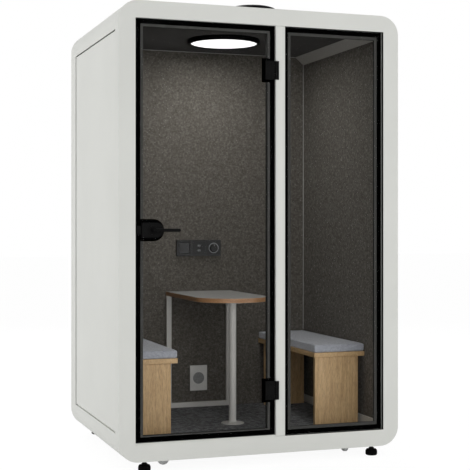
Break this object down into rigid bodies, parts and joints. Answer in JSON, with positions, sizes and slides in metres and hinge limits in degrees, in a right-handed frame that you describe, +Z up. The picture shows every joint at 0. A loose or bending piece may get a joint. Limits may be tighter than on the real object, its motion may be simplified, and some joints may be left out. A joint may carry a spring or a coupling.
{
  "type": "acoustic office pod",
  "caption": "Off-white acoustic office pod with rounded corners, a glazed front with a hinged door, felt-lined cabin, facing benches, wall table and ceiling lamp",
  "frame": {"origin": "on the ground under the middle of the whole footprint, the outside lever included", "axes": "+X to the right for a person facing the door, +Y from the glazed front to the back, +Z up"},
  "size_m": [1.5, 1.2546, 2.339],
  "materials": {
    "paint": "satin",
    "dark_trim": "matte",
    "felt": "matte",
    "carpet": "matte",
    "ceiling_board": "matte",
    "grey_metal": "satin",
    "glass": "gloss",
    "enamel": "gloss",
    "rubber": "matte",
    "black_metal": "satin",
    "steel": "satin",
    "laminate": "satin",
    "oak": "satin",
    "cushion": "matte",
    "plastic": "matte",
    "opal": "satin",
    "wheel": "satin"
  },
  "bodies": {
    "pod": {"front_frame": "paint", "rear_frame": "paint", "roof_shell": "paint", "base_shell": "paint", "left_side_panel": "paint", "right_side_panel": "paint", "back_panel": "paint", "mullion_post": "paint", "glazing_frame": "dark_trim", "left_wall_felt": "felt", "right_wall_felt": "felt", "back_wall_felt": "felt", "floor_carpet": "carpet", "ceiling_panel": "ceiling_board", "left_skirting": "grey_metal", "right_skirting": "grey_metal", "table_leg": "grey_metal", "table_wall_frame": "grey_metal", "window_glass": "glass", "window_border": "enamel", "door_seal": "rubber", "hinge_jamb_top": "black_metal", "hinge_jamb_bottom": "black_metal", "lamp_housing": "black_metal", "table_top": "laminate", "left_bench_near_leg": "oak", "left_bench_far_leg": "oak", "left_bench_board": "oak", "right_bench_near_leg": "oak", "right_bench_far_leg": "oak", "right_bench_board": "oak", "left_bench_cushion": "cushion", "right_bench_cushion": "cushion", "switch_plate": "plastic", "air_inlet": "plastic", "vent_cap": "plastic", "lamp_diffuser": "opal"},
    "door": {"door_glass": "glass", "door_border": "enamel", "hinge_leaf_top": "black_metal", "hinge_leaf_bottom": "black_metal", "lock_case": "black_metal"},
    "lever": {"lever_outside": "black_metal", "lever_inside": "black_metal"},
    "latch": {"latch_bolt": "steel"},
    "rocker": {"rocker_switch": "plastic"},
    "dimmer": {"dimmer_knob": "plastic"},
    "fan": {"fan_rotor": "plastic"},
    "front_left_leveller": {"front_left_foot": "plastic"},
    "front_left_caster": {"front_left_caster_fork": "steel"},
    "front_left_roller": {"front_left_caster_wheel": "wheel"},
    "front_right_leveller": {"front_right_foot": "plastic"},
    "front_right_caster": {"front_right_caster_fork": "steel"},
    "front_right_roller": {"front_right_caster_wheel": "wheel"},
    "rear_left_leveller": {"rear_left_foot": "plastic"},
    "rear_left_caster": {"rear_left_caster_fork": "steel"},
    "rear_left_roller": {"rear_left_caster_wheel": "wheel"},
    "rear_right_leveller": {"rear_right_foot": "plastic"},
    "rear_right_caster": {"rear_right_caster_fork": "steel"},
    "rear_right_roller": {"rear_right_caster_wheel": "wheel"}
  },
  "joints": [
    {"name": "door_swing", "type": "hinge", "parent": "pod", "child": "door", "pos_m": [0.0615, -0.579, 1.1785], "axis": [0, 0, 1], "range_deg": [0, 100]},
    {"name": "lever_turn", "type": "hinge", "parent": "door", "child": "lever", "pos_m": [-0.58, -0.5657, 1.18], "axis": [0, 1, 0], "range_deg": [0, 45]},
    {"name": "latch_throw", "type": "slide", "parent": "door", "child": "latch", "axis": [-1, 0, 0], "range_m": [0, 0.0121]},
    {"name": "rocker_tilt", "type": "hinge", "parent": "pod", "child": "rocker", "pos_m": [-0.091, 0.555, 1.07], "axis": [-1, 0, 0], "range_deg": [0, 8]},
    {"name": "dimmer_turn", "type": "hinge", "parent": "pod", "child": "dimmer", "pos_m": [0.091, 0.551, 1.07], "axis": [0, -1, 0], "range_deg": [-135, 135]},
    {"name": "fan_spin", "type": "hinge", "parent": "pod", "child": "fan", "pos_m": [0, -0.3887, 2.28], "axis": [0, 0, 1], "continuous": true},
    {"name": "front_left_foot_level", "type": "slide", "parent": "pod", "child": "front_left_leveller", "axis": [0, 0, 1], "range_m": [-0.015, 0.009]},
    {"name": "front_left_caster_swivel", "type": "hinge", "parent": "pod", "child": "front_left_caster", "pos_m": [-0.508, -0.4427, 0.08], "axis": [0, 0, 1], "continuous": true},
    {"name": "front_left_wheel_roll", "type": "hinge", "parent": "front_left_caster", "child": "front_left_roller", "pos_m": [-0.492, -0.4427, 0.037], "axis": [0, 1, 0], "continuous": true},
    {"name": "front_right_foot_level", "type": "slide", "parent": "pod", "child": "front_right_leveller", "axis": [0, 0, 1], "range_m": [-0.015, 0.009]},
    {"name": "front_right_caster_swivel", "type": "hinge", "parent": "pod", "child": "front_right_caster", "pos_m": [0.508, -0.4427, 0.08], "axis": [0, 0, 1], "continuous": true},
    {"name": "front_right_wheel_roll", "type": "hinge", "parent": "front_right_caster", "child": "front_right_roller", "pos_m": [0.508, -0.4267, 0.037], "axis": [1, 0, 0], "continuous": true},
    {"name": "rear_left_foot_level", "type": "slide", "parent": "pod", "child": "rear_left_leveller", "axis": [0, 0, 1], "range_m": [-0.015, 0.009]},
    {"name": "rear_left_caster_swivel", "type": "hinge", "parent": "pod", "child": "rear_left_caster", "pos_m": [-0.508, 0.4443, 0.08], "axis": [0, 0, 1], "continuous": true},
    {"name": "rear_left_wheel_roll", "type": "hinge", "parent": "rear_left_caster", "child": "rear_left_roller", "pos_m": [-0.508, 0.4283, 0.037], "axis": [1, 0, 0], "continuous": true},
    {"name": "rear_right_foot_level", "type": "slide", "parent": "pod", "child": "rear_right_leveller", "axis": [0, 0, 1], "range_m": [-0.015, 0.009]},
    {"name": "rear_right_caster_swivel", "type": "hinge", "parent": "pod", "child": "rear_right_caster", "pos_m": [0.508, 0.4443, 0.08], "axis": [0, 0, 1], "continuous": true},
    {"name": "rear_right_wheel_roll", "type": "hinge", "parent": "rear_right_caster", "child": "rear_right_roller", "pos_m": [0.492, 0.4443, 0.037], "axis": [0, 1, 0], "continuous": true}
  ],
  "couplings": [
    {"joint": "latch_throw", "follows": "lever_turn", "m_per_rad": 0.015279}
  ]
}
